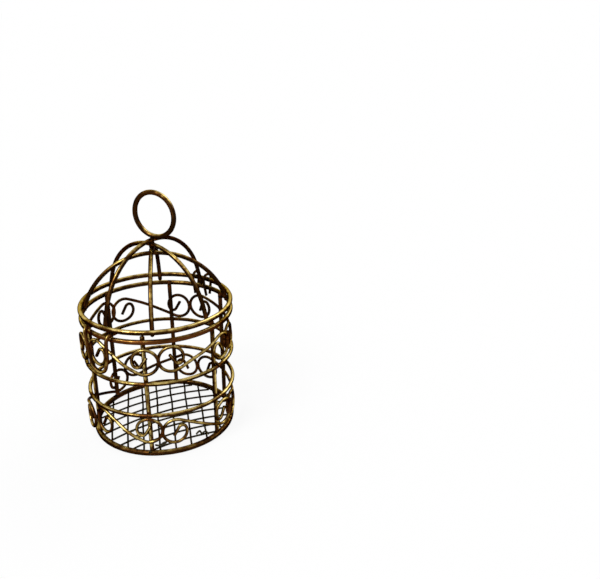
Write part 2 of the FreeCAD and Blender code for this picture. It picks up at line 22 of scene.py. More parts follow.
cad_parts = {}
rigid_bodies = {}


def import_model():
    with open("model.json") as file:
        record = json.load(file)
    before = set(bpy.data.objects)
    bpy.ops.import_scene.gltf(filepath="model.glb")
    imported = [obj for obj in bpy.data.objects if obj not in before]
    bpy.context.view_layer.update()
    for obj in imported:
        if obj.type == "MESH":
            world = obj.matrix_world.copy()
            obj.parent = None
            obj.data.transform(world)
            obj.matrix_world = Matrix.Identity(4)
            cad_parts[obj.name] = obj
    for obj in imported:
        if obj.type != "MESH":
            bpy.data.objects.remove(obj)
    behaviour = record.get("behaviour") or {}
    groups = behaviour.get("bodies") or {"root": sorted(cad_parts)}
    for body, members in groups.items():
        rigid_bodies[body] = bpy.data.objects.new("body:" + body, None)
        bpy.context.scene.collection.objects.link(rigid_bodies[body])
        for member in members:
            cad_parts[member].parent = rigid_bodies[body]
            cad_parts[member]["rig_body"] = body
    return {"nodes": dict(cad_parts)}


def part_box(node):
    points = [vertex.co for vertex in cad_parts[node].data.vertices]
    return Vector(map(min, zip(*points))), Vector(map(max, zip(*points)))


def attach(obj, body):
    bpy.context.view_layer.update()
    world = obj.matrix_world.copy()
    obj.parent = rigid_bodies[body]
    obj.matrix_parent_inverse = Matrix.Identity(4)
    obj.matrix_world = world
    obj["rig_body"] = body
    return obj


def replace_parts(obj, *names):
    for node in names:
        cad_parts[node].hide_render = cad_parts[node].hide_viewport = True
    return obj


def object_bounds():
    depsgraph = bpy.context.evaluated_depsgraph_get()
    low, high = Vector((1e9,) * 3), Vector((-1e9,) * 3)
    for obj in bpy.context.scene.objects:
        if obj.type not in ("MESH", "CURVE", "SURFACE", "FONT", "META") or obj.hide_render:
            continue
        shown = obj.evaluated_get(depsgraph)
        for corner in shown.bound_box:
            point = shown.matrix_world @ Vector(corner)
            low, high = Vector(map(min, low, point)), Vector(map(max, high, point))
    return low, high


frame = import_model()
CAD_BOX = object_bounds()

bl_info = {
    "name": "Wire Cage",
    "version": (1, 0, 0),
    "blender": (4, 5, 0),
    "location": "View3D > Sidebar > Wire Cage",
    "description": "Draws the wires, the braze and the floor of a small wire cage with a domed lid",
    "category": "Object",
}

MM = 0.001

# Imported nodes, by the way each kind of wire is made
RINGS = ["base_ring", "lower_hoop", "upper_hoop", "body_rim", "lid_rim", "carry_ring"]
UPRIGHTS = [f"upright_{number}" for number in range(1, 7)]
SCROLLS = [f"{band}_scroll_{number}" for band in ("lower", "upper") for number in range(1, 6)]
ARCHES = [f"lid_arch_{number}" for number in range(1, 5)]
STAPLES = ["hinge_staple_right", "hinge_staple_left"]
GRIDS = ["floor_grid_lower", "floor_grid_upper"]
OPEN_WIRES = UPRIGHTS + SCROLLS + ARCHES + STAPLES + ["hasp"]

# Reading a packed wire: how near the middles of one section lie, the fewest corners of a section,
# the least spacing of two sections, and how many wires a layer of the floor grid has
SAME_SECTION = 0.06 * MM
LEAST_CORNERS = 12
LEAST_SPACING = 0.03 * MM
GRID_WIRES = 8

# Bending by hand: what picks the places where rings are closed and the ways wires stray, and how
# far apart in the noise one wire and the next are bent
SEAM_SEED = 3
SWAY_SEED = 7
NOISE_SHIFT = (1, 0.37, -0.61)

# A cut end: where its sections lie, as shares of the bevel, and how much thinner it gets
CUT_SECTIONS = (0, 0.3, 0.65)
CUT_THINNING = 0.32

# Bends of a loose wire end in the floor grid, in millimetres along, aside and up from its root
STUB = [(0, 0, 0), (1.4, 0.2, 0.6), (2.6, 0.7, 1.3), (3.4, 1.5, 2.4)]
KINK = [(-2.6, 0.1, 0), (-1.3, 1.0, 1.0), (0.1, -1.1, 1.3), (1.4, 0.8, 1.0), (2.8, 0, 0.1)]
KNOT = [(0, 0, 0), (1.6, 0.5, 0.7), (2.5, -0.7, 1.5), (1.1, -1.6, 1.7), (-0.5, -0.9, 1.4),
        (-1.9, 0.7, 1.5)]

# Loose ends: near which place of the floor, in millimetres, the way they point, in degrees, and
# their bends
SNAGS = [
    ((0.1, -18.0), 110, KINK),
    ((-3.2, -20.0), 40, KNOT),
    ((12.5, -25.3), -60, STUB),
    ((14.7, -20.3), 75, KNOT),
    ((23.5, -4.2), 30, KINK),
    ((13.5, 23.0), 60, STUB),
    ((6.0, 26.0), 100, STUB),
]

# How many times as closely as another wire a loose end is drawn
LOOSE_FINENESS = 3

# A wire this many times as thick as the one it meets gets no collar of braze and stays bright
COLLAR_LIMIT = 1.1

# Beads of braze: how their reach and fullness range, how fast they thin out along a wire, and how
# many lumps lie between two wires, how far these stray and how their sizes range
REACH_RANGE = (0.75, 1.3)
FULL_RANGE = (0.7, 1.5)
BEAD_FALL = 1.5
LUMPS = 3
LUMP_STRAY = 0.35
LUMP_RANGE = (0.7, 1.1)

# How strongly and how often a moulded bead is smoothed, and the name of the beads in the floor
MELT = 0.5
MELT_ROUNDS = 6
GRID_WELDS = "grid_welds"

# Tint of the metal where it is seen at a glancing angle
EDGE_TINT = (0.14, 0.09, 0.045)

# Marks on brass and on braze: scale and detail of the noise that each is made from
BRASS_MARKS = {"blotch": (130, 3), "patch": (480, 2), "speck": (1500, 2), "flush": (85, 2)}
BRAZE_MARKS = {"blotch": (420, 4), "speck": (2600, 2)}

# Marks that run along a wire: how close they lie along it and round it, and their detail
DRAWN_MARKS = {"streak": ((0.05, 1.3, 1.3), 3), "scratch": ((0.35, 7.0, 7.0), 2)}

# What each mark adds to where brass lies between patina and painted highlight, and to how
# scorched, shiny and uneven it is, and the scorch that brass has without any
RUBBED_AND_LIT = {"worn": 1.0, "blotch": 0.42, "streak": 0.5, "scratch": 0.25, "patch": 0.4, "speck": 0.15,
          "heat": -0.18}
SCORCHED = {"heat": 0.75, "rubbed_and_lit": -0.55, "streak": 0.9, "blotch": 0.5, "flush": 1.2}
PLAIN_SCORCH = 0.24
SHINY = {"rubbed_and_lit": 1.0, "speck": 0.4}
UNEVEN = {"scratch": 0.6, "speck": 0.5, "blotch": 0.6}

# What each mark adds to how bare and pitted braze is, and how bare it is without any
BARE = {"blotch": 1.1, "speck": 0.35}
PLAIN_BARE = 0.42
PITTED = {"blotch": 1.0, "speck": 0.5}

# Roughness of the dullest and of the shiniest metal
BRASS_ROUGHNESS = (0.50, 0.22)
BRAZE_ROUGHNESS = (0.62, 0.34)

# Strength and depth of the unevenness of the metal
BRASS_BUMP = (0.35, 0.03 * MM)
BRAZE_BUMP = (0.6, 0.06 * MM)

# Where each colour lies on the way from dark to bright: for brass, copper and grid from patina and
# painted shade through rubbing to painted highlight, for braze from burnt to bare
BRASS_STOPS = {"soot": 0.64, "umber": 0.745, "olive": 0.825, "gold": 0.91, "bright": 0.98}
COPPER_STOPS = {"soot": 0.55, "umber": 0.85, "copper": 1.0}
GRID_STOPS = (0.2, 0.5, 0.85)
BRAZE_STOPS = {"soot": 0.25, "braze": 0.5, "umber": 0.68, "olive": 0.9}

# How bright the grid is half way along its colours, beside the grid colour that its tops take from
# rubbing and painted highlight
GRID_SHADE = 0.35

# Numbers of the sockets of a node that mixes two colours: share, first, second and result
MIX_SHARE, MIX_FIRST, MIX_SECOND, MIX_RESULT = 0, 6, 7, 2

# Lamps: spread of the light, turn about the cage from the camera, and height, in degrees
LAMPS = {"key": (28, -38, 48), "fill": (40, 140, 40)}

# Width of the camera's frame in millimetres, and the nearest that it sees
FRAME_WIDTH = 36
NEAREST = 10 * MM

# The side of the cage, in plan, on which the torch left the wire red
TORCH_SIDE = (0.64, -0.77)

# How far a face has to look down to count as the underside of a wire, where it gets a painted
# reflection of the white floor, at first and in full
UNDERSIDE = (0.30, 0.75)

# Top of the line up the middle that wires face away from, as a share of the height of the body,
# and the least distance from that line that still has a direction
CORE_SHARE = 0.8
LEAST_AWAY = 1e-6


class WearAndLight(NamedTuple):
    """Where a kind of wire is rubbed and where painted light falls on it, how dark tarnish keeps it
    and how red the torch left it.
    """
    # on_top weighs faces that look up, partly rubbing and partly a painted highlight; outside
    # weighs rubbing on faces away from the middle; under paints a reflection of the white floor on
    # the underside
    on_top: float
    outside: float
    under: float = 0
    tarnish: float = 0
    torch: float = 0


# Rubbing and painted light for each kind of wire: painted highlight on top, painted floor
# reflection beneath
RING_WEAR_AND_LIGHT = WearAndLight(0.95, 0.15, under=0.88, tarnish=0.02)
ODD_RING_WEAR_AND_LIGHT = {
    "base_ring": WearAndLight(0.95, 0.15, tarnish=0.17),
    "body_rim": WearAndLight(0.95, 0.15, under=0.85, torch=0.80),
    "carry_ring": WearAndLight(0.70, 0.40, tarnish=0.04),
}
UPRIGHT_WEAR_AND_LIGHT = WearAndLight(0.30, 0.85)
SCROLL_WEAR_AND_LIGHT = WearAndLight(0.58, 0.46, under=0.62, tarnish=-0.01)
ARCH_WEAR_AND_LIGHT = WearAndLight(0.88, 0.0, under=0.78)
HASP_WEAR_AND_LIGHT = WearAndLight(0.40, 0.80, tarnish=0.03, torch=0.45)
GRID_WEAR_AND_LIGHT = WearAndLight(0.80, 0.20)

# Every wire of the cage as drawn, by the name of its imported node, and the joints between them
wires = {}
joints = []


# Sizes and colours

class WireShape(bpy.types.PropertyGroup):
    """How evenly the wires were drawn, bent and cut."""
    sides: IntProperty(name="Sides", description="Faces round a wire", default=18, min=8)
    step: FloatProperty(
        name="Step", description="Spacing of the sections along a wire",
        default=0.45 * MM, unit="LENGTH", precision=5)
    sway: FloatProperty(
        name="Sway", description="How far a wire strays from its true line",
        default=0.07 * MM, unit="LENGTH", precision=5)
    sway_length: FloatProperty(
        name="Sway length", description="Length over which a wire strays",
        default=11 * MM, unit="LENGTH", precision=4)
    dents: FloatProperty(
        name="Dents", description="Unevenness of a wire's radius, as a share of it",
        default=0.02, subtype="FACTOR", min=0, max=0.2)
    dent_length: FloatProperty(
        name="Dent length", description="Length of a dent",
        default=2.2 * MM, unit="LENGTH", precision=4)
    cut_bevel: FloatProperty(
        name="Cut bevel", description="Round left by the cutter at the end of a wire",
        default=0.22 * MM, unit="LENGTH", precision=5)
    cut_slant: FloatProperty(
        name="Cut slant", description="How far a cut end leans, as a share of the radius",
        default=0.25, subtype="FACTOR", min=0, max=1)
    crimp: FloatProperty(
        name="Crimp", description="How far the wires of the floor grid stray sideways",
        default=0.3 * MM, unit="LENGTH", precision=5)


class BrazeShape(bpy.types.PropertyGroup):
    """The beads of braze where wires meet."""
    touch: FloatProperty(
        name="Touch", description="Widest gap that is brazed",
        default=0.14 * MM, unit="LENGTH", precision=5)
    reach: FloatProperty(
        name="Reach", description="How far a bead runs along a wire, in wire radii",
        default=1.05, min=0.5)
    fullness: FloatProperty(
        name="Fullness", description="Thickness of a bead over the wire, as a share of it",
        default=0.09, subtype="FACTOR", min=0, max=1)
    filler: FloatProperty(
        name="Filler", description="Lump between two wires, as a share of the mean radius",
        default=0.78, subtype="FACTOR", min=0, max=2)
    crown: FloatProperty(
        name="Crown", description="How much fuller the braze is where the arches cross",
        default=1.35, min=1)
    grain: FloatProperty(
        name="Grain", description="Cells from which a bead is moulded, in wire radii",
        default=0.21, min=0.05)
    spread: FloatProperty(
        name="Heat spread", description="How far from a joint the heat darkened the wire",
        default=2.4 * MM, unit="LENGTH", precision=4)


class Finish(bpy.types.PropertyGroup):
    """Colours of the antiqued wire."""
    soot: FloatVectorProperty(
        name="Soot", description="Darkest patina",
        subtype="COLOR", default=(0.018, 0.0072, 0.0018), min=0, max=1)
    # Umber is partly patina in the hollows and partly painted shade on the sides of a wire.
    umber: FloatVectorProperty(
        name="Umber", description="Brown patina on the sheltered faces",
        subtype="COLOR", default=(0.090, 0.035, 0.007), min=0, max=1)
    # Olive and gold are partly brass bared by rubbing and partly painted light on the tops and
    # undersides of wires.
    olive: FloatVectorProperty(
        name="Olive", description="Half rubbed brass",
        subtype="COLOR", default=(0.170, 0.110, 0.026), min=0, max=1)
    gold: FloatVectorProperty(
        name="Gold", description="Rubbed brass",
        subtype="COLOR", default=(0.420, 0.305, 0.090), min=0, max=1)
    # Bright is a painted highlight along the top of a wire, where the lamps would shine on it.
    bright: FloatVectorProperty(
        name="Bright", description="Brass polished by fingers along the top of a wire",
        subtype="COLOR", default=(0.66, 0.50, 0.185), min=0, max=1)
    copper: FloatVectorProperty(
        name="Copper", description="Red tint left by the torch",
        subtype="COLOR", default=(0.140, 0.044, 0.010), min=0, max=1)
    grid: FloatVectorProperty(
        name="Grid", description="Dull plating of the floor grid",
        subtype="COLOR", default=(0.060, 0.052, 0.030), min=0, max=1)
    braze: FloatVectorProperty(
        name="Braze", description="Burnt skin of the braze",
        subtype="COLOR", default=(0.016, 0.007, 0.0025), min=0, max=1)


class Stage(bpy.types.PropertyGroup):
    """Floor, light and camera."""
    floor_size: FloatProperty(
        name="Floor", description="Side of the floor", default=8.0, unit="LENGTH")
    floor_colour: FloatVectorProperty(
        name="Floor colour", description="Pale floor",
        subtype="COLOR", default=(0.94, 0.94, 0.94), min=0, max=1)
    shadow: FloatProperty(
        name="Shadow", description="How much of the shadow the white floor shows",
        default=0.13, subtype="FACTOR", min=0, max=1)
    sky: FloatProperty(
        name="Sky", description="Strength of the light from all round", default=0.5, min=0)
    key: FloatProperty(
        name="Key lamp", description="Strength of the soft lamp left of the camera", default=1.75)
    fill: FloatProperty(
        name="Fill lamp", description="Strength of the soft lamp behind the cage", default=0.7)
    camera_place: FloatVectorProperty(
        name="Camera", description="Where the camera stands",
        subtype="XYZ", unit="LENGTH", default=(0.1892, -0.2030, 0.1727), precision=4)
    camera_heading: FloatProperty(
        name="Heading", description="Way the camera looks, anticlockwise from +X",
        default=math.radians(120.78), unit="ROTATION")
    camera_dip: FloatProperty(
        name="Dip", description="How far the camera looks down",
        default=math.radians(22.57), unit="ROTATION")
    camera_roll: FloatProperty(
        name="Roll", description="Turn of the camera about its own line of sight",
        default=math.radians(0.06), unit="ROTATION")
    camera_lens: FloatProperty(
        name="Lens", description="Focal length on a frame 36 mm wide",
        default=43.48, unit="CAMERA")


class CageSettings(bpy.types.PropertyGroup):
    """Everything that a user may set on the cage."""
    wire: PointerProperty(type=WireShape)
    bead: PointerProperty(type=BrazeShape)
    finish: PointerProperty(type=Finish)
    stage: PointerProperty(type=Stage)


def settings():
    """The settings kept on the scene."""
    return bpy.context.scene.wire_cage


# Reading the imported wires

class Wire:
    """One wire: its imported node, its middles, its radius, and whether it is a closed ring."""

    def __init__(self, node, middles, radius, ring):
        self.node = node
        self.body = frame["nodes"][node]["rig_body"]
        self.middles = middles
        self.radius = radius
        self.ring = ring
        self.heated = []


class Joint(NamedTuple):
    """Two wires that touch, and the number of the section at which each does."""
    one: Wire
    at_one: int
    other: Wire
    at_other: int


def numbers(items, field, width, kind=np.float32):
    """A field of every item of a mesh as an array with width columns."""
    values = np.empty(len(items) * width, kind)
    items.foreach_get(field, values)
    return values.reshape(-1, width)


def read_skin(node):
    """Corners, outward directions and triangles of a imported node."""
    mesh = frame["nodes"][node].data
    corners = numbers(mesh.vertices, "co", 3).astype(float)
    outward = np.zeros_like(corners)
    shared = numbers(mesh.loops, "vertex_index", 1, np.int32).ravel()
    outward[shared] = numbers(mesh.corner_normals, "vector", 3)
    mesh.calc_loop_triangles()
    return corners, outward, numbers(mesh.loop_triangles, "vertices", 3, np.int32)


def round_radius(corners, triangles, wire_count):
    """Radius of round wires from their volume and their skin, less the skin of their flat ends."""
    a, b, c = (corners[triangles[:, side]] for side in range(3))
    area = np.linalg.norm(np.cross(b - a, c - a), axis=1).sum() / 2
    volume = abs(np.einsum("ij,ij->i", a, np.cross(b, c)).sum()) / 6
    radius = 2 * volume / area
    return radius * (1 + wire_count * math.pi * radius ** 3 / volume)


def sections(middles, triangles):
    """Middle of each section of the skin of wires, and the lengths from it to those beside it."""
    tree = KDTree(len(middles))
    for index, middle in enumerate(middles):
        tree.insert(middle, index)
    tree.balance()
    section = np.full(len(middles), -1)
    centres = []
    for index, middle in enumerate(middles):
        found = [near for _, near, _ in tree.find_range(middle, SAME_SECTION) if section[near] < 0]
        if section[index] < 0 and len(found) >= LEAST_CORNERS:
            section[found] = len(centres)
            centres.append(middles[found].mean(axis=0))
    links = {number: [] for number in range(len(centres))}
    edges = np.sort(section[triangles[:, [0, 1, 1, 2, 2, 0]]].reshape(-1, 2), axis=1)
    between = edges[(edges[:, 0] >= 0) & (edges[:, 0] != edges[:, 1])]
    for one, other in np.unique(between, axis=0).tolist():
        length = float(np.linalg.norm(centres[one] - centres[other]))
        links[one].append((other, length))
        links[other].append((one, length))
    return np.array(centres), links


def travel(links, start):
    """Length of wire from one section to every section that it leads to."""
    reached = {}
    queue = [(0.0, start)]
    while queue:
        length, place = heapq.heappop(queue)
        if place not in reached:
            reached[place] = length
            for beside, gap in links[place]:
                heapq.heappush(queue, (length + gap, beside))
    return reached


def read_open_wires(node, wire_count):
    """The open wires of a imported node, each as the middles of its sections from end to end."""
    corners, outward, triangles = read_skin(node)
    radius = round_radius(corners, triangles, wire_count)
    centres, links = sections(corners - outward * radius, triangles)
    found = []
    left = set(links)
    while left:
        reached = travel(links, min(left))
        along = travel(links, max(reached, key=reached.get))
        left -= set(along)
        middles = evenly_spaced(centres[sorted(along, key=along.get)], settings().wire.step)
        found.append(Wire(node, middles, radius, False))
    return found


def evenly_spaced(points, step):
    """Points at even steps along a smooth line through the given ones, closer at its ends."""
    gaps = np.linalg.norm(np.diff(points, axis=0), axis=1)
    points = points[np.concatenate(([True], gaps > LEAST_SPACING))]
    gaps = np.linalg.norm(np.diff(points, axis=0), axis=1)[:, None]
    slopes = np.diff(points, axis=0) / gaps
    turns = (slopes[:-1] * gaps[1:] + slopes[1:] * gaps[:-1]) / (gaps[:-1] + gaps[1:])
    turns = np.concatenate((slopes[:1], turns, slopes[-1:]))
    lengths = np.concatenate(([0], np.cumsum(gaps)))
    total = lengths[-1]
    bevel = settings().wire.cut_bevel
    ends = bevel * np.array(CUT_SECTIONS)
    inner = np.linspace(bevel, total - bevel, max(2, round(total / step)))
    wanted = np.concatenate((ends, inner, total - ends[::-1]))
    span = np.clip(np.searchsorted(lengths, wanted, side="right") - 1, 0, len(gaps) - 1)
    share = ((wanted - lengths[span]) / gaps[span, 0])[:, None]
    rest = 1 - share
    before, after = points[span], points[span + 1]
    return (before * (1 + 2 * share) * rest ** 2 + after * (1 + 2 * rest) * share ** 2
            + gaps[span] * share * rest * (turns[span] * rest - turns[span + 1] * share))


def read_ring(node, seam):
    """A packed ring as a circle whose two ends meet at the angle seam about the ring's axis."""
    corners = read_skin(node)[0]
    centre = (corners.min(axis=0) + corners.max(axis=0)) / 2
    axis = np.linalg.eigh(np.cov((corners - centre).T))[1][:, 0]
    axis *= math.copysign(1, axis.sum())
    along = (corners - centre) @ axis
    reach = np.linalg.norm(corners - centre - np.outer(along, axis), axis=1)
    radius = (reach.max() - reach.min()) / 2
    ring_radius = (reach.max() + reach.min()) / 2
    centre = centre + axis * (along.max() - radius)
    first = np.array(Vector(axis).orthogonal().normalized())
    second = np.cross(axis, first)
    count = round(math.tau * ring_radius / settings().wire.step)
    angles = seam + np.arange(count) * math.tau / count
    spokes = np.outer(np.cos(angles), first) + np.outer(np.sin(angles), second)
    return Wire(node, centre + ring_radius * spokes, radius, True)


def strayed(wire, number):
    """Middles of a wire after hand bending has moved them a little off the true line."""
    shape = settings().wire
    start = Vector([number * shift for shift in NOISE_SHIFT])
    places = [Vector(middle) / shape.sway_length + start for middle in wire.middles]
    moved = np.array([noise.noise_vector(place) for place in places])
    if wire.node in GRIDS:
        return wire.middles + moved * (shape.crimp, shape.crimp, 0)
    return wire.middles + moved * shape.sway


def find_joints(one, other):
    """Numbers of the sections at which two wires of one body touch, on the one and on the other."""
    touch = one.radius + other.radius + settings().bead.touch
    tree = KDTree(len(other.middles))
    for index, middle in enumerate(other.middles):
        tree.insert(middle, index)
    tree.balance()
    run = []
    for index, middle in enumerate(one.middles):
        _, near, gap = tree.find(middle)
        if gap < touch:
            run.append((gap, index, near))
        elif run:
            yield min(run)[1:]
            run = []
    if run:
        yield min(run)[1:]


def read_cage():
    """Read every packed wire, find the joints between them and bend the wires by hand."""
    noise.seed_set(SWAY_SEED)
    seams = random.Random(SEAM_SEED)
    for node in RINGS:
        wires[node] = [read_ring(node, seams.uniform(0, math.tau))]
    for node in OPEN_WIRES:
        wires[node] = read_open_wires(node, 1)
    for node in GRIDS:
        wires[node] = read_open_wires(node, GRID_WIRES)
    every = [wire for group in wires.values() for wire in group]
    for number, one in enumerate(every):
        for other in every[number + 1:]:
            reach = one.radius + other.radius + settings().bead.touch
            apart = np.maximum(one.middles.min(axis=0) - other.middles.max(axis=0),
                               other.middles.min(axis=0) - one.middles.max(axis=0)).max()
            if one.body == other.body and apart < reach:
                for index, near in find_joints(one, other):
                    joints.append(Joint(one, index, other, near))
                    place = (one.middles[index] + other.middles[near]) / 2
                    if one.radius < COLLAR_LIMIT * other.radius:
                        one.heated.append(place)
                    if other.radius < COLLAR_LIMIT * one.radius:
                        other.heated.append(place)
    for number, wire in enumerate(every):
        wire.middles = strayed(wire, number)


# Drawing wire

def new_piece(name, corners, faces, body, material):
    """A smooth mesh that rides on a body and takes its finish from a slot."""
    mesh = bpy.data.meshes.new(name)
    mesh.from_pydata(corners.tolist(), [], faces)
    mesh.shade_smooth()
    mesh.materials.append(material)
    piece = bpy.data.objects.new(name, mesh)
    bpy.context.scene.collection.objects.link(piece)
    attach(piece, body)
    return piece


def write_attribute(piece, name, kind, values):
    """Keep a value for every corner of a piece."""
    attribute = piece.data.attributes.new(name, kind, "POINT")
    field = "vector" if kind == "FLOAT_VECTOR" else "value"
    attribute.data.foreach_set(field, np.asarray(values, np.float32).ravel())


def section_axes(middles, ring):
    """Directions along and across a wire at each of its sections, turning as little as they can."""
    if ring:
        along = np.roll(middles, -1, axis=0) - np.roll(middles, 1, axis=0)
    else:
        along = np.gradient(middles, axis=0)
    along /= np.linalg.norm(along, axis=1)[:, None]
    across = np.empty_like(along)
    side = np.array(Vector(along[0]).orthogonal())
    for index, heading in enumerate(along):
        side = side - heading * (side @ heading)
        side /= np.linalg.norm(side)
        across[index] = side
    return along, across, np.cross(along, across)


class Tube:
    """The skin of one hand-bent wire, with what the finish needs to know at each corner."""

    def __init__(self, wire):
        shape = settings().wire
        sides = shape.sides
        count = len(wire.middles)
        along, across, aside = section_axes(wire.middles, wire.ring)
        turn = np.arange(sides) * math.tau / sides
        cosine, sine = np.cos(turn)[None], np.sin(turn)[None]
        spoke = cosine[..., None] * across[:, None] + sine[..., None] * aside[:, None]
        places = (wire.middles[:, None] + spoke * wire.radius).reshape(-1, 3)
        dents = np.array([noise.noise(Vector(place) / shape.dent_length) for place in places])
        thickness = wire.radius * (1 + shape.dents * dents.reshape(count, sides))
        steps = np.linalg.norm(np.diff(wire.middles, axis=0), axis=1)
        lengths = np.concatenate(([0], np.cumsum(steps)))
        lean = np.zeros((count, sides))
        if not wire.ring:
            to_end = np.minimum(lengths, lengths[-1] - lengths)
            bite = np.clip(1 - to_end / shape.cut_bevel, 0, 1)
            thickness *= (1 - CUT_THINNING * bite ** 2)[:, None]
            inward = np.where(lengths < lengths[-1] / 2, 1, -1) * bite
            slant = 1 + np.cos(turn + count)
            lean = inward[:, None] * wire.radius * shape.cut_slant * slant[None, :]
        self.corners = (wire.middles[:, None] + spoke * thickness[..., None]
                        + along[:, None] * lean[..., None]).reshape(-1, 3)
        self.outward = spoke.reshape(-1, 3)
        drawn = np.broadcast_arrays(lengths[:, None] / MM, cosine, sine)
        self.drawn = np.stack(drawn, -1).reshape(-1, 3)
        self.heat = np.zeros(len(self.corners))
        if wire.heated:
            apart = self.corners[:, None] - np.array(wire.heated)[None]
            gaps = np.linalg.norm(apart, axis=2).min(axis=1)
            self.heat = np.exp(-(gaps / settings().bead.spread) ** 2)
        self.faces = tube_faces(count, sides, wire.ring)


def tube_faces(count, sides, ring):
    """Faces of a tube of sections: a ring closes on itself, any other is shut by its two ends."""
    faces = []
    for section in range(count if ring else count - 1):
        start = section * sides
        after = (section + 1) % count * sides
        for side in range(sides):
            beside = (side + 1) % sides
            faces.append((start + side, start + beside, after + beside, after + side))
    if not ring:
        faces.append(tuple(range(sides))[::-1])
        faces.append(tuple(range((count - 1) * sides, count * sides)))
    return faces


def wear_and_painted_light(corners, outward, wear_and_light):
    """How bright each corner is painted, by its facing up, down and away from the cage's middle:
    rubbing where it faces away from the middle, a painted highlight where it looks up, painted
    shade on the sides and a painted reflection of the white floor where it looks down.
    """
    core_top = (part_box("body_rim")[0].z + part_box("base_ring")[1].z) * CORE_SHARE
    core = np.zeros_like(corners)
    core[:, 2] = np.minimum(corners[:, 2], core_top)
    away = corners - core
    away /= np.maximum(np.linalg.norm(away, axis=1), LEAST_AWAY)[:, None]
    facing = wear_and_light.on_top * outward[:, 2] + wear_and_light.outside * (outward * away).sum(axis=1)
    # below paints the reflection of the white floor on faces that look down; the sides between stay
    # dark as painted shade
    begin, full = UNDERSIDE
    below = np.clip((-outward[:, 2] - begin) / (full - begin), 0, 1)
    return np.maximum(np.clip(0.5 + 0.5 * facing, 0, 1), wear_and_light.under * below) - wear_and_light.tarnish


def above_table(corners):
    """Corners kept from going below the table, as the flat under the base ring is."""
    corners[:, 2] = np.maximum(corners[:, 2], CAD_BOX[0].z)
    return corners


def draw_wires(name, group, material, wear_and_light):
    """Draw a group of wires as one piece."""
    tubes = [Tube(wire) for wire in group]
    corners = above_table(np.concatenate([tube.corners for tube in tubes]))
    faces = []
    start = 0
    for tube in tubes:
        faces += [tuple(corner + start for corner in face) for face in tube.faces]
        start += len(tube.corners)
    piece = new_piece(name, corners, faces, group[0].body, material)
    outward = np.concatenate([tube.outward for tube in tubes])
    # Rubbing and painted light: a highlight on top, shade on the sides, the floor's reflection
    # beneath
    write_attribute(piece, "worn", "FLOAT", wear_and_painted_light(corners, outward, wear_and_light))
    heat = np.concatenate([tube.heat for tube in tubes])
    toward = np.clip(corners[:, :2] @ TORCH_SIDE / CAD_BOX[1].x, 0, 1)
    write_attribute(piece, "scorched", "FLOAT", np.maximum(heat, wear_and_light.torch * toward))
    write_attribute(piece, "drawn", "FLOAT_VECTOR", np.concatenate([tube.drawn for tube in tubes]))
    return piece


def draw_node(node, material, wear_and_light):
    """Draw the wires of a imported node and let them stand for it."""
    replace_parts(draw_wires(f"{node}_wire", wires[node], material, wear_and_light), node)


def loose_end(place, heading, bends):
    """A loose end of wire, bent up from the wire of the floor grid that is nearest to a place."""
    grid = [wire for node in GRIDS for wire in wires[node]]
    middles = np.concatenate([wire.middles for wire in grid])
    root = middles[np.linalg.norm(middles[:, :2] - np.array(place) * MM, axis=1).argmin()]
    turn = Matrix.Rotation(math.radians(heading), 3, "Z")
    points = np.array([root + np.array(turn @ Vector(bend)) * MM for bend in bends])
    middles = evenly_spaced(points, settings().wire.step / LOOSE_FINENESS)
    return Wire(GRIDS[1], middles, grid[0].radius, False)


# Braze

def ball():
    """Corners and triangles of a ball of radius one."""
    mould = bmesh.new()
    bmesh.ops.create_icosphere(mould, subdivisions=2, radius=1)
    corners = np.array([corner.co[:] for corner in mould.verts])
    faces = np.array([[corner.index for corner in face.verts] for face in mould.faces])
    mould.free()
    return corners, faces


def bead_balls(joint, chance):
    """Middles and radii of the balls of one bead: a collar on each wire and lumps between them."""
    one, index, other, near = joint
    bead = settings().bead
    balls = []
    thickest = COLLAR_LIMIT * min(one.radius, other.radius)
    for wire, middle in ((one, index), (other, near)):
        if wire.radius > thickest:
            continue
        reach = bead.reach * wire.radius * chance.uniform(*REACH_RANGE)
        full = bead.fullness * chance.uniform(*FULL_RANGE)
        gaps = np.linalg.norm(wire.middles - wire.middles[middle], axis=1)
        for place, gap in zip(wire.middles[gaps < reach], gaps[gaps < reach]):
            balls.append((place, wire.radius * (1 + full * (1 - BEAD_FALL * (gap / reach) ** 2))))
    both = one.radius + other.radius
    between = (one.middles[index] * other.radius + other.middles[near] * one.radius) / both
    mean = min(both / 2, thickest)
    if one.node in ARCHES and other.node in ARCHES:
        mean *= bead.crown
    for _ in range(LUMPS):
        stray = Vector([chance.uniform(-1, 1) for _ in range(3)]) * mean * LUMP_STRAY
        size = mean * bead.filler * chance.uniform(*LUMP_RANGE)
        balls.append((between + np.array(stray), size))
    return balls


def mould_beads(name, picked, body, material, seed):
    """Mould the beads of the picked joints into one lumpy skin."""
    chance = random.Random(seed)
    unit, unit_faces = ball()
    corners = []
    faces = []
    for joint in picked:
        for place, radius in bead_balls(joint, chance):
            faces.append(unit_faces + len(unit) * len(corners))
            corners.append(unit * radius + place)
    corners = np.concatenate(corners)
    piece = new_piece(name, corners, np.concatenate(faces).tolist(), body, material)
    thinnest = min(min(joint.one.radius, joint.other.radius) for joint in picked)
    remesh = piece.modifiers.new("mould", "REMESH")
    remesh.mode = "VOXEL"
    remesh.voxel_size = settings().bead.grain * thinnest
    smooth = piece.modifiers.new("melt", "SMOOTH")
    smooth.factor = MELT
    smooth.iterations = MELT_ROUNDS
    melted = piece.evaluated_get(bpy.context.evaluated_depsgraph_get())
    moulded = bpy.data.meshes.new_from_object(melted)
    piece.modifiers.clear()
    raw = piece.data
    piece.data = moulded
    bpy.data.meshes.remove(raw)
    moulded.name = name
    moulded.shade_smooth()
    kept = above_table(numbers(moulded.vertices, "co", 3))
    moulded.vertices.foreach_set("co", kept.ravel())


# Finishes

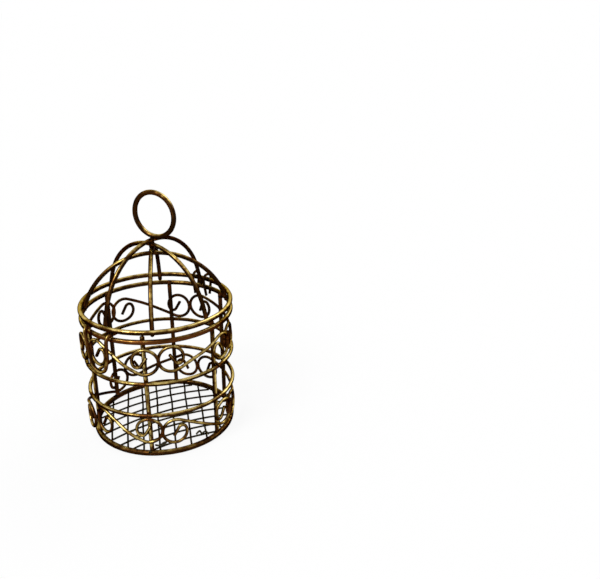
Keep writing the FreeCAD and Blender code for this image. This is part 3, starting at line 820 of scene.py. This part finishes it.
def node_adder(tree):
    """A function that adds a node to a tree, with its fields, and its sockets' values or links."""
    def add(kind, sockets=(), **fields):
        made = tree.nodes.new(f"ShaderNode{kind}")
        for field, value in fields.items():
            setattr(made, field, value)
        for socket, source in dict(sockets).items():
            if isinstance(source, bpy.types.NodeSocket):
                tree.links.new(source, made.inputs[socket])
            else:
                made.inputs[socket].default_value = source
        return made

    return add


def finish_nodes(name):
    """A new material, its tree, its shader and a function that adds nodes to it."""
    material = bpy.data.materials.new(name)
    material.use_nodes = True
    tree = material.node_tree
    return material, tree, tree.nodes["Principled BSDF"], node_adder(tree)


def colour(value):
    """A colour with full alpha."""
    return (*value, 1.0)


def mottle(add, vector, scale, detail):
    """Noise about its middle, from about -0.5 to 0.5."""
    made = add("TexNoise", {"Vector": vector, "Scale": scale, "Detail": detail})
    return add("Math", {0: made.outputs[0], 1: 0.5}, operation="SUBTRACT").outputs[0]


def make_marks(add, kinds):
    """Noise for each kind of mark, by its name, fixed to the piece."""
    place = add("TexCoord").outputs["Object"]
    return {name: mottle(add, place, scale, detail) for name, (scale, detail) in kinds.items()}


def weigh(add, marks, weights, start=0):
    """Sum of a start value and of marks by name, each times its weight."""
    total = start
    for name, weight in weights.items():
        sockets = {0: marks[name], 1: weight, 2: total}
        total = add("Math", sockets, operation="MULTIPLY_ADD").outputs[0]
    return total


def ramp(add, source, stops):
    """Colours along a value."""
    made = add("ValToRGB", {0: source})
    bar = made.color_ramp.elements
    while len(bar) < len(stops):
        bar.new(0.5)
    for element, (position, shade) in zip(bar, stops):
        element.position = position
        element.color = colour(shade)
    return made.outputs[0]


def shades(stops):
    """Positions and colours of stops that are named after a colour of the finish."""
    finish = settings().finish
    return [(position, getattr(finish, name)) for name, position in stops.items()]


def skin_metal(tree, shader, add, shine, roughness, height, bump, tint):
    """Make a shader metal that is smoother where it shines, uneven, and tinted at its edges."""
    dull, bright = roughness
    rough = add("MapRange", {"Value": shine, "To Min": dull, "To Max": bright})
    tree.links.new(rough.outputs[0], shader.inputs["Roughness"])
    strength, depth = bump
    uneven = add("Bump", {"Strength": strength, "Distance": depth, "Height": height})
    tree.links.new(uneven.outputs[0], shader.inputs["Normal"])
    shader.inputs["Metallic"].default_value = 1.0
    shader.inputs["Specular Tint"].default_value = colour(tint)


def brass_finish(name, stops, torch):
    """Antiqued wire: patina and painted shade, rubbing and a painted highlight where it faces out
    and up, a painted floor reflection beneath, tinted by the torch, scored lengthwise.

    stops are the colours from patina and painted shade to painted highlight, and torch is the
    colour near a joint.
    """
    material, tree, shader, add = finish_nodes(name)
    marks = make_marks(add, BRASS_MARKS)
    drawn = add("Attribute", attribute_name="drawn").outputs["Vector"]
    for mark, (scale, detail) in DRAWN_MARKS.items():
        lengthwise = add("Mapping", {"Vector": drawn, "Scale": scale}).outputs[0]
        marks[mark] = mottle(add, lengthwise, 1.0, detail)
    # Rubbing together with the painted highlight, shade and floor reflection, from the facing of
    # each corner
    marks["worn"] = add("Attribute", attribute_name="worn").outputs["Fac"]
    marks["heat"] = add("Attribute", attribute_name="scorched").outputs["Fac"]
    marks["rubbed_and_lit"] = weigh(add, marks, RUBBED_AND_LIT)
    tone = ramp(add, marks["rubbed_and_lit"], stops)
    scorch = weigh(add, marks, SCORCHED, PLAIN_SCORCH)
    sockets = {MIX_SHARE: scorch, MIX_FIRST: tone, MIX_SECOND: colour(torch)}
    tinted = add("Mix", sockets, data_type="RGBA", clamp_factor=True)
    tree.links.new(tinted.outputs[MIX_RESULT], shader.inputs["Base Color"])
    skin_metal(tree, shader, add, weigh(add, marks, SHINY), BRASS_ROUGHNESS,
               weigh(add, marks, UNEVEN), BRASS_BUMP, EDGE_TINT)
    return material


def braze_finish():
    """Burnt braze: a dark dull skin with pits and a few bare glints."""
    material, tree, shader, add = finish_nodes("burnt_braze")
    marks = make_marks(add, BRAZE_MARKS)
    bare = weigh(add, marks, BARE, PLAIN_BARE)
    tree.links.new(ramp(add, bare, shades(BRAZE_STOPS)), shader.inputs["Base Color"])
    skin_metal(tree, shader, add, bare, BRAZE_ROUGHNESS,
               weigh(add, marks, PITTED), BRAZE_BUMP, settings().finish.umber)
    return material


def floor_finish():
    """Pale floor that takes the shadow and reads as white paper to the camera and in the metal."""
    stage = settings().stage
    material, tree, shader, add = finish_nodes("paper_floor")
    tree.nodes.remove(shader)
    matt = add("BsdfDiffuse", {"Color": colour(stage.floor_colour)})
    paper = add("Emission")
    share = add("Math", {0: seen_rays(add), 1: 1 - stage.shadow}, operation="MULTIPLY")
    both = add("MixShader", {0: share.outputs[0], 1: matt.outputs[0], 2: paper.outputs[0]})
    tree.links.new(both.outputs[0], tree.nodes["Material Output"].inputs["Surface"])
    return material


def seen_rays(add):
    """One for rays that show a surface, straight, in a mirror or through glass, else zero."""
    path = add("LightPath").outputs
    seen = path["Is Camera Ray"]
    for kind in ("Is Glossy Ray", "Is Transmission Ray"):
        seen = add("Math", {0: seen, 1: path[kind]}, operation="MAXIMUM").outputs[0]
    return seen


def material_named(name):
    """A finish by name, made the first time that it is asked for."""
    finish = settings().finish
    if name in bpy.data.materials:
        return bpy.data.materials[name]
    if name == "brass":
        return brass_finish(name, shades(BRASS_STOPS), finish.copper)
    if name == "copper":
        return brass_finish(name, shades(COPPER_STOPS), finish.soot)
    if name == "grid":
        half = [value * GRID_SHADE for value in finish.grid]
        stops = list(zip(GRID_STOPS, (finish.soot, half, finish.grid)))
        return brass_finish(name, stops, finish.soot)
    return braze_finish()


# Operators

class CageOperator:
    """What every operator of the cage shares."""
    bl_options = {"REGISTER", "UNDO"}


class BendRings(CageOperator, bpy.types.Operator):
    """Bend the base ring, the hoops, the two rims and the ring on top"""
    bl_idname = "wire_cage.bend_rings"
    bl_label = "Bend Rings"

    def execute(self, context):
        for node in RINGS:
            draw_node(node, material_named("brass"), ODD_RING_WEAR_AND_LIGHT.get(node, RING_WEAR_AND_LIGHT))
        return {"FINISHED"}


class CutUprights(CageOperator, bpy.types.Operator):
    """Cut the uprights of the body"""
    bl_idname = "wire_cage.cut_uprights"
    bl_label = "Cut Uprights"

    def execute(self, context):
        for node in UPRIGHTS:
            draw_node(node, material_named("brass"), UPRIGHT_WEAR_AND_LIGHT)
        return {"FINISHED"}


class CurlScrolls(CageOperator, bpy.types.Operator):
    """Curl the scrolls of the two bands"""
    bl_idname = "wire_cage.curl_scrolls"
    bl_label = "Curl Scrolls"

    def execute(self, context):
        for node in SCROLLS:
            draw_node(node, material_named("brass"), SCROLL_WEAR_AND_LIGHT)
        return {"FINISHED"}


class BendArches(CageOperator, bpy.types.Operator):
    """Bend the arches of the lid"""
    bl_idname = "wire_cage.bend_arches"
    bl_label = "Bend Arches"

    def execute(self, context):
        for node in ARCHES:
            draw_node(node, material_named("brass"), ARCH_WEAR_AND_LIGHT)
        return {"FINISHED"}


class BendHasp(CageOperator, bpy.types.Operator):
    """Bend the hasp that closes the lid"""
    bl_idname = "wire_cage.bend_hasp"
    bl_label = "Bend Hasp"

    def execute(self, context):
        draw_node("hasp", material_named("brass"), HASP_WEAR_AND_LIGHT)
        return {"FINISHED"}


class BendStaples(CageOperator, bpy.types.Operator):
    """Bend the two staples of the hinge"""
    bl_idname = "wire_cage.bend_staples"
    bl_label = "Bend Staples"

    def execute(self, context):
        for node in STAPLES:
            draw_node(node, material_named("copper"), UPRIGHT_WEAR_AND_LIGHT)
        return {"FINISHED"}


class WeaveFloor(CageOperator, bpy.types.Operator):
    """Lay the two layers of the floor grid"""
    bl_idname = "wire_cage.weave_floor"
    bl_label = "Weave Floor"

    def execute(self, context):
        for node in GRIDS:
            draw_node(node, material_named("grid"), GRID_WEAR_AND_LIGHT)
        return {"FINISHED"}


class BendLooseEnds(CageOperator, bpy.types.Operator):
    """Bend up the loose ends of the floor grid"""
    bl_idname = "wire_cage.bend_loose_ends"
    bl_label = "Bend Loose Ends"

    def execute(self, context):
        ends = [loose_end(*snag) for snag in SNAGS]
        draw_wires("loose_grid_ends", ends, material_named("grid"), GRID_WEAR_AND_LIGHT)
        return {"FINISHED"}


class BrazeJoints(CageOperator, bpy.types.Operator):
    """Braze the wires wherever they touch"""
    bl_idname = "wire_cage.braze_joints"
    bl_label = "Braze Joints"

    def execute(self, context):
        groups = {}
        for joint in joints:
            in_grid = joint.one.node in GRIDS or joint.other.node in GRIDS
            name = GRID_WELDS if in_grid else f"{joint.one.body}_braze"
            groups.setdefault(name, []).append(joint)
        for number, name in enumerate(sorted(groups)):
            picked = groups[name]
            material = material_named("burnt_braze")
            mould_beads(name, picked, picked[0].one.body, material, number)
        return {"FINISHED"}


class SetStage(CageOperator, bpy.types.Operator):
    """Lay the floor, hang the lamps and place the camera"""
    bl_idname = "wire_cage.set_stage"
    bl_label = "Set Stage"

    def execute(self, context):
        lay_floor()
        light_sky()
        hang_lamps()
        place_camera()
        context.scene.view_settings.view_transform = "Standard"
        return {"FINISHED"}


def lay_floor():
    """A wide pale floor under the cage."""
    half = settings().stage.floor_size / 2
    mesh = bpy.data.meshes.new("floor")
    corners = [(-half, -half, 0), (half, -half, 0), (half, half, 0), (-half, half, 0)]
    mesh.from_pydata(corners, [], [(0, 1, 2, 3)])
    mesh.materials.append(floor_finish())
    floor = bpy.data.objects.new("floor", mesh)
    bpy.context.scene.collection.objects.link(floor)


def light_sky():
    """Even light from all round, and plain white where the camera or the metal sees the sky."""
    world = bpy.data.worlds.new("white_room")
    world.use_nodes = True
    tree = world.node_tree
    back = tree.nodes["Background"]
    back.inputs["Color"].default_value = (1, 1, 1, 1)
    add = node_adder(tree)
    seen = seen_rays(add)
    strength = add("MapRange", {"Value": seen, "To Min": settings().stage.sky, "To Max": 1.0})
    tree.links.new(strength.outputs[0], back.inputs["Strength"])
    bpy.context.scene.world = world


def hang_lamps():
    """Two broad soft lamps: one high left of the camera, one weaker behind and to the right."""
    stage = settings().stage
    for name, degrees in LAMPS.items():
        spread, turn, height = (math.radians(angle) for angle in degrees)
        lamp = bpy.data.lights.new(name, "SUN")
        lamp.energy = getattr(stage, name)
        lamp.angle = spread
        hung = bpy.data.objects.new(name, lamp)
        heading = stage.camera_heading + math.pi + turn
        level = math.cos(height)
        place = Vector((level * math.cos(heading), level * math.sin(heading), math.sin(height)))
        hung.location = place
        hung.rotation_euler = place.to_track_quat("Z", "Y").to_euler()
        bpy.context.scene.collection.objects.link(hung)


def place_camera():
    """The camera at the photograph's place and angle."""
    stage = settings().stage
    lens = bpy.data.cameras.new("camera")
    lens.sensor_width = FRAME_WIDTH
    lens.sensor_fit = "HORIZONTAL"
    lens.lens = stage.camera_lens
    lens.clip_start = NEAREST
    camera = bpy.data.objects.new("camera", lens)
    heading, dip, roll = stage.camera_heading, stage.camera_dip, stage.camera_roll
    flat = math.cos(dip)
    forward = Vector((math.cos(heading) * flat, math.sin(heading) * flat, -math.sin(dip)))
    right = forward.cross(Vector((0, 0, 1))).normalized()
    up = right.cross(forward)
    right, up = (right * math.cos(roll) + up * math.sin(roll),
                 up * math.cos(roll) - right * math.sin(roll))
    turn = Matrix((right, up, -forward)).transposed()
    camera.matrix_world = Matrix.Translation(stage.camera_place) @ turn.to_4x4()
    bpy.context.scene.collection.objects.link(camera)
    bpy.context.scene.camera = camera


class CagePanel(bpy.types.Panel):
    """The cage's operators and settings in the sidebar"""
    bl_idname = "VIEW3D_PT_wire_cage"
    bl_label = "Wire Cage"
    bl_space_type = "VIEW_3D"
    bl_region_type = "UI"
    bl_category = "Wire Cage"

    def draw(self, context):
        for operator in OPERATORS:
            self.layout.operator(operator.bl_idname)
        for part in ("wire", "bead", "finish", "stage"):
            group = getattr(settings(), part)
            box = self.layout.box()
            for name in group.bl_rna.properties.keys():
                if name not in ("rna_type", "name"):
                    box.prop(group, name)


OPERATORS = [BendRings, CutUprights, CurlScrolls, BendArches, BendHasp, BendStaples, WeaveFloor,
             BendLooseEnds, BrazeJoints, SetStage]
CLASSES = [WireShape, BrazeShape, Finish, Stage, CageSettings, *OPERATORS, CagePanel]


def register():
    """Make the settings, operators and panel known."""
    for part in CLASSES:
        bpy.utils.register_class(part)
    bpy.types.Scene.wire_cage = PointerProperty(type=CageSettings)


def unregister():
    """Forget them again."""
    del bpy.types.Scene.wire_cage
    for part in reversed(CLASSES):
        bpy.utils.unregister_class(part)


def main():
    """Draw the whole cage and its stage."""
    register()
    read_cage()
    bpy.ops.wire_cage.bend_rings()
    bpy.ops.wire_cage.cut_uprights()
    bpy.ops.wire_cage.curl_scrolls()
    bpy.ops.wire_cage.bend_arches()
    bpy.ops.wire_cage.bend_hasp()
    bpy.ops.wire_cage.bend_staples()
    bpy.ops.wire_cage.weave_floor()
    bpy.ops.wire_cage.bend_loose_ends()
    bpy.ops.wire_cage.braze_joints()
    bpy.ops.wire_cage.set_stage()
    bpy.context.view_layer.update()


if __name__ == "__main__":
    main()
